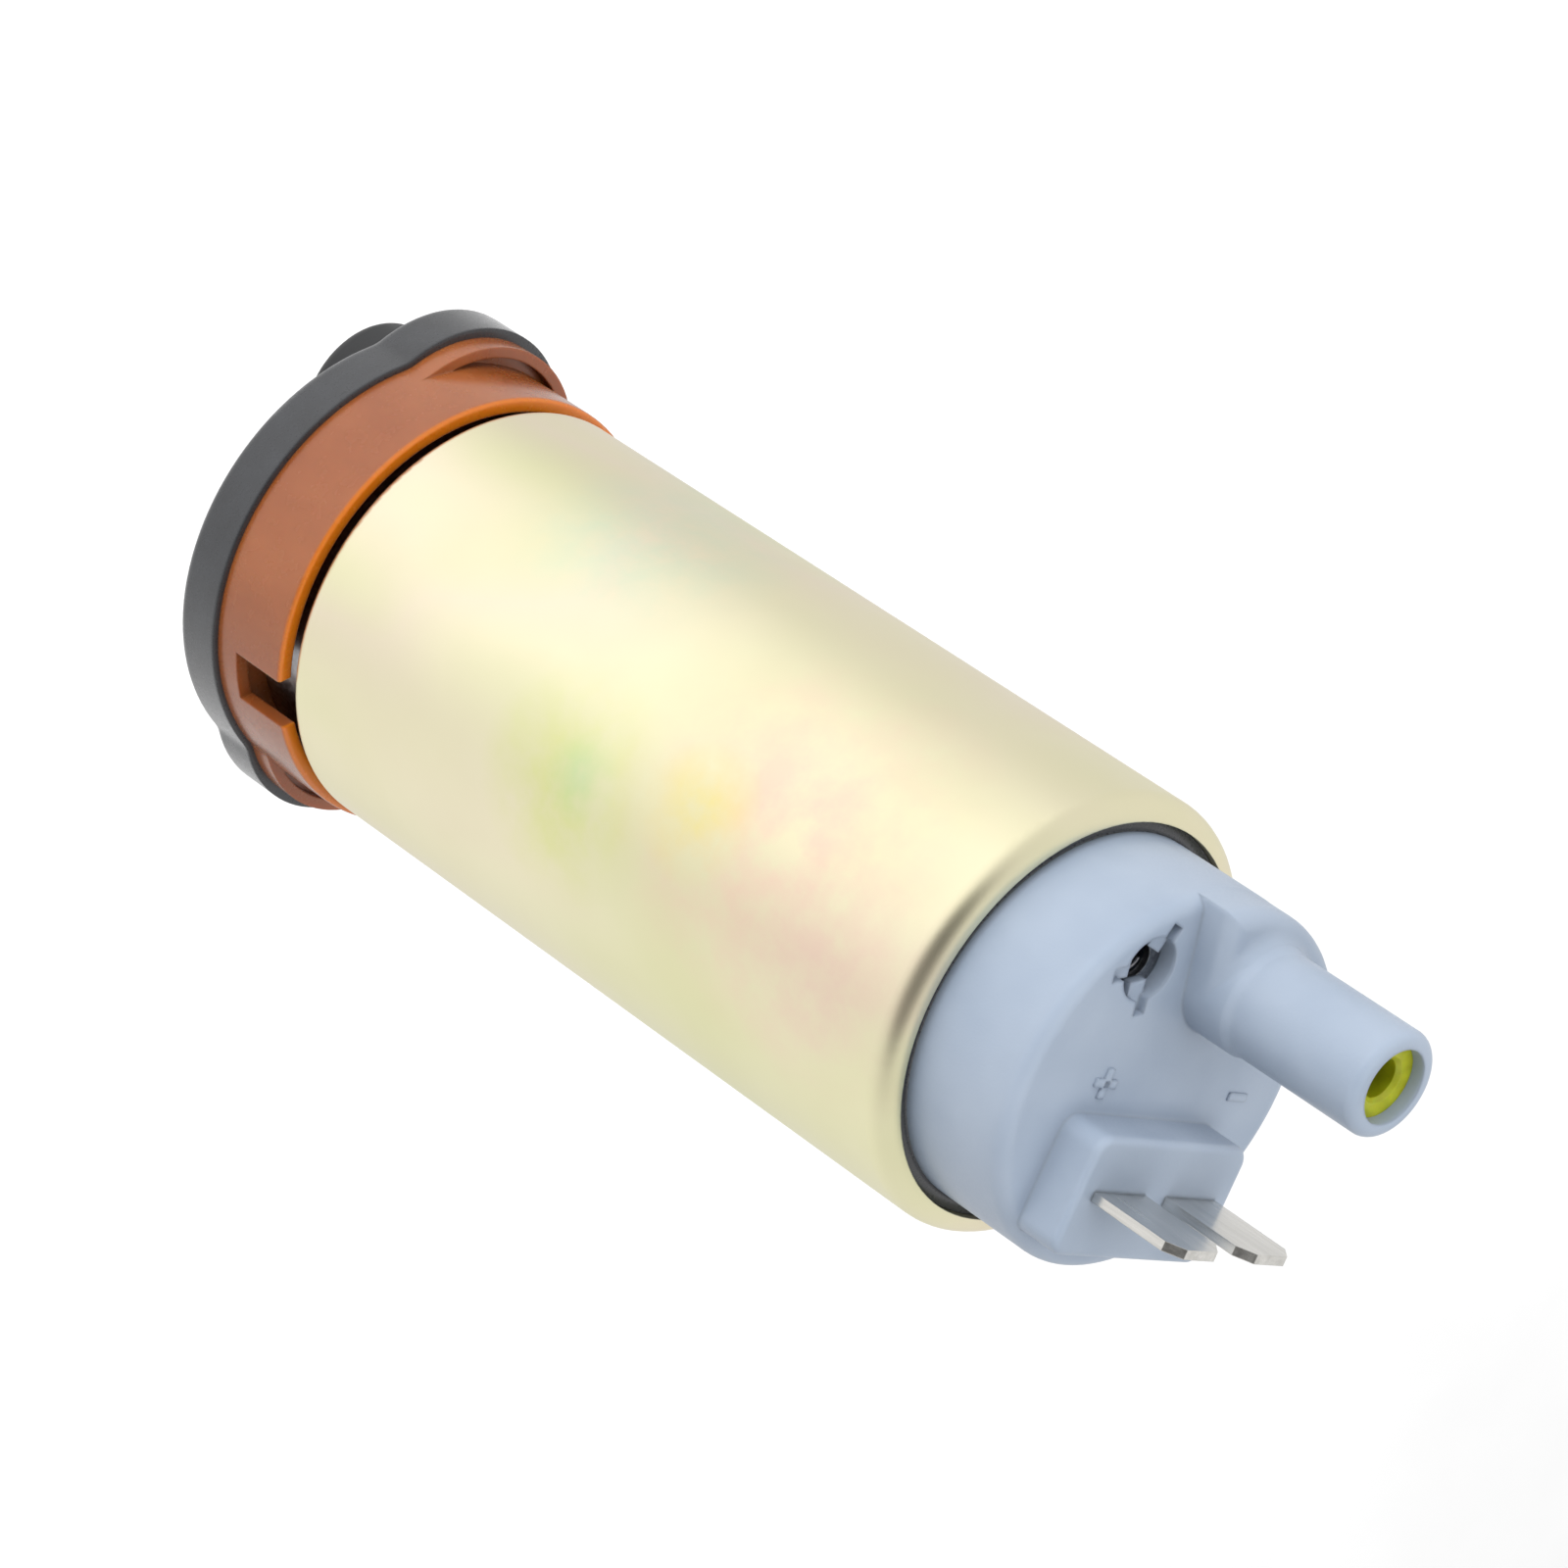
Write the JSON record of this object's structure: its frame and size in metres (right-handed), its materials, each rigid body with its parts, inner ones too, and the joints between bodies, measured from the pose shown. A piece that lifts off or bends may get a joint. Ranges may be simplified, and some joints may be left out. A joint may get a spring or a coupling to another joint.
{
  "type": "in-tank electric fuel pump",
  "caption": "Electric in-tank turbine fuel pump: steel can with a moulded outlet cover, offset outlet spigot with check valve, blade terminals, and a lobed rubber-padded inlet collar.",
  "frame": {"origin": "where the can's axis meets the rear face of the rubber base pad", "axes": "+Z along the can's axis from the inlet end to the outlet end, +Y towards the outlet spigot, -Y towards the blade terminals, +X completes the right-handed frame"},
  "size_m": [0.04, 0.0446, 0.1215],
  "materials": {
    "chromated_steel": "yellow chromate over zinc, satin",
    "black_rubber": "moulded, semi-matt",
    "amber_plastic": "moulded, glossy, slightly translucent edges",
    "black_plastic": "moulded, satin",
    "grey_blue_plastic": "moulded, fine satin",
    "yellow_green_plastic": "moulded, smooth",
    "white_plastic": "moulded, smooth",
    "dark_resin": "moulded and ground flat",
    "die_cast_aluminium": "die-cast, machined faces",
    "hardened_steel": "ground",
    "spring_steel": "drawn, bright",
    "laminated_steel": "stacked laminations",
    "sintered_bronze": "sintered, oil-filled",
    "tinned_brass": "bright tin plate",
    "copper": "enamelled copper wire",
    "ferrite": "pressed and ground ferrite",
    "carbon": "pressed carbon"
  },
  "bodies": {
    "housing": {"can": "chromated_steel", "base_pad": "black_rubber", "inlet_collar": "amber_plastic", "inlet_neck": "black_plastic", "inlet_cover": "die_cast_aluminium", "thrust_button": "hardened_steel", "pump_plate": "die_cast_aluminium", "lower_bearing": "sintered_bronze", "upper_bearing": "sintered_bronze", "magnet_right": "ferrite", "magnet_left": "ferrite", "magnet_clip_front": "spring_steel", "magnet_clip_back": "spring_steel", "brush_spring_positive": "spring_steel", "brush_spring_negative": "spring_steel", "brush_lead_positive": "copper", "brush_lead_negative": "copper", "choke_core_positive": "ferrite", "choke_core_negative": "ferrite", "choke_coil_positive": "copper", "choke_coil_negative": "copper", "terminal_positive": "tinned_brass", "terminal_negative": "tinned_brass", "outlet_cover": "grey_blue_plastic", "cover_seal": "black_rubber", "check_valve_spring": "spring_steel", "check_valve_retainer": "yellow_green_plastic", "relief_valve_spring": "spring_steel", "relief_valve_ring": "spring_steel"},
    "rotor": {"motor_shaft": "hardened_steel", "armature_core": "laminated_steel", "armature_winding": "copper", "commutator": "carbon", "impeller": "dark_resin"},
    "brush_positive": {"brush_positive": "carbon"},
    "brush_negative": {"brush_negative": "carbon"},
    "check_valve": {"check_valve_poppet": "white_plastic"},
    "relief_valve": {"relief_valve_ball": "hardened_steel"}
  },
  "joints": [
    {"name": "rotor_spin", "type": "hinge", "parent": "housing", "child": "rotor", "pos_m": [0, 0, 0.04], "axis": [0, 0, 1], "continuous": true},
    {"name": "brush_positive_slide", "type": "slide", "parent": "housing", "child": "brush_positive", "axis": [0, 0, 1], "range_m": [0, 0.004], "stiffness_N_per_m": 60, "springref_m": -0.004, "deforming": ["brush_spring_positive"]},
    {"name": "brush_negative_slide", "type": "slide", "parent": "housing", "child": "brush_negative", "axis": [0, 0, 1], "range_m": [0, 0.004], "stiffness_N_per_m": 60, "springref_m": -0.004, "deforming": ["brush_spring_negative"]},
    {"name": "check_valve_lift", "type": "slide", "parent": "housing", "child": "check_valve", "axis": [0, 0, 1], "range_m": [0, 0.0025], "stiffness_N_per_m": 40, "springref_m": -0.003, "deforming": ["check_valve_spring"]},
    {"name": "relief_valve_lift", "type": "slide", "parent": "housing", "child": "relief_valve", "axis": [0, 0, 1], "range_m": [0, 0.0012], "stiffness_N_per_m": 800, "springref_m": -0.002, "deforming": ["relief_valve_spring"]}
  ]
}
